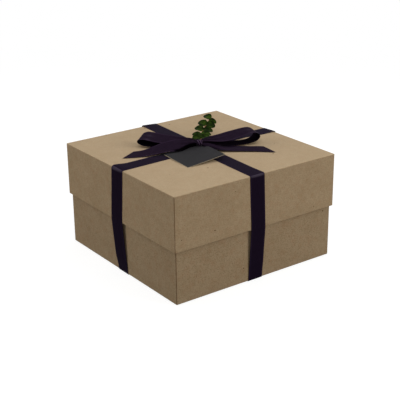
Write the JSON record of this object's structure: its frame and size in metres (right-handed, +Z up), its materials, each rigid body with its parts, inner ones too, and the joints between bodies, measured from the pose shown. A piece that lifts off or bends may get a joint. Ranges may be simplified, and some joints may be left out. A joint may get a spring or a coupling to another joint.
{
  "type": "kraft gift box",
  "caption": "Square kraft gift box with a lift-off lid over a base, tied crosswise with satin ribbon in a flat bow with a card tag and a leafy sprig in the knot.",
  "frame": {"origin": "on the ground under the middle of the box", "axes": "+Z up; +X and +Y square to the box's sides; the front face in the picture looks along -Y and the left face along -X"},
  "size_m": [0.2508, 0.2508, 0.1649],
  "materials": {
    "kraft_paper": "matt recycled kraft with fine fibres",
    "greyboard": "raw grey board",
    "lining_paper": "plain matt lining",
    "stay_tape": "gummed paper tape",
    "satin_ribbon": "double-faced satin weave",
    "tag_card": "matt dark card",
    "stem": "thin reddish bark",
    "leaf": "waxy preserved leaf"
  },
  "bodies": {
    "base": {"base_board": "greyboard", "base_corner_stay_1": "stay_tape", "base_corner_stay_2": "stay_tape", "base_corner_stay_3": "stay_tape", "base_corner_stay_4": "stay_tape", "base_wrap_paper": "kraft_paper", "base_lining": "lining_paper", "ribbon_under_x": "satin_ribbon", "ribbon_under_y": "satin_ribbon", "ribbon_strap_left": "satin_ribbon", "ribbon_strap_right": "satin_ribbon", "ribbon_strap_front": "satin_ribbon", "ribbon_strap_back": "satin_ribbon"},
    "lid": {"lid_board": "greyboard", "lid_corner_stay_1": "stay_tape", "lid_corner_stay_2": "stay_tape", "lid_corner_stay_3": "stay_tape", "lid_corner_stay_4": "stay_tape", "lid_wrap_paper": "kraft_paper", "lid_lining": "lining_paper", "ribbon_lid_x": "satin_ribbon", "ribbon_lid_y": "satin_ribbon", "bow_knot": "satin_ribbon", "bow_left_loop": "satin_ribbon", "bow_right_loop": "satin_ribbon", "bow_left_tail": "satin_ribbon", "bow_right_tail": "satin_ribbon"},
    "tag": {"tag_card": "tag_card"},
    "sprig": {"sprig_stem": "stem", "sprig_leaf_1": "leaf", "sprig_leaf_2": "leaf", "sprig_leaf_3": "leaf", "sprig_leaf_4": "leaf", "sprig_leaf_5": "leaf", "sprig_leaf_6": "leaf", "sprig_leaf_7": "leaf", "sprig_leaf_8": "leaf", "sprig_leaf_9": "leaf", "sprig_leaf_10": "leaf"}
  },
  "joints": [
    {"name": "lid_lift", "type": "slide", "parent": "base", "child": "lid", "axis": [0, 0, 1], "range_m": [0, 0.08], "deforming": ["ribbon_strap_left", "ribbon_strap_right", "ribbon_strap_front", "ribbon_strap_back"]},
    {"name": "tag_swivel", "type": "hinge", "parent": "lid", "child": "tag", "pos_m": [-0.003, -0.008, 0.1466], "axis": [0, 0, 1], "range_deg": [-12, 3]},
    {"name": "sprig_pull", "type": "slide", "parent": "lid", "child": "sprig", "axis": [0.8993, 0.4007, 0.1753], "range_m": [0, 0.06]}
  ]
}
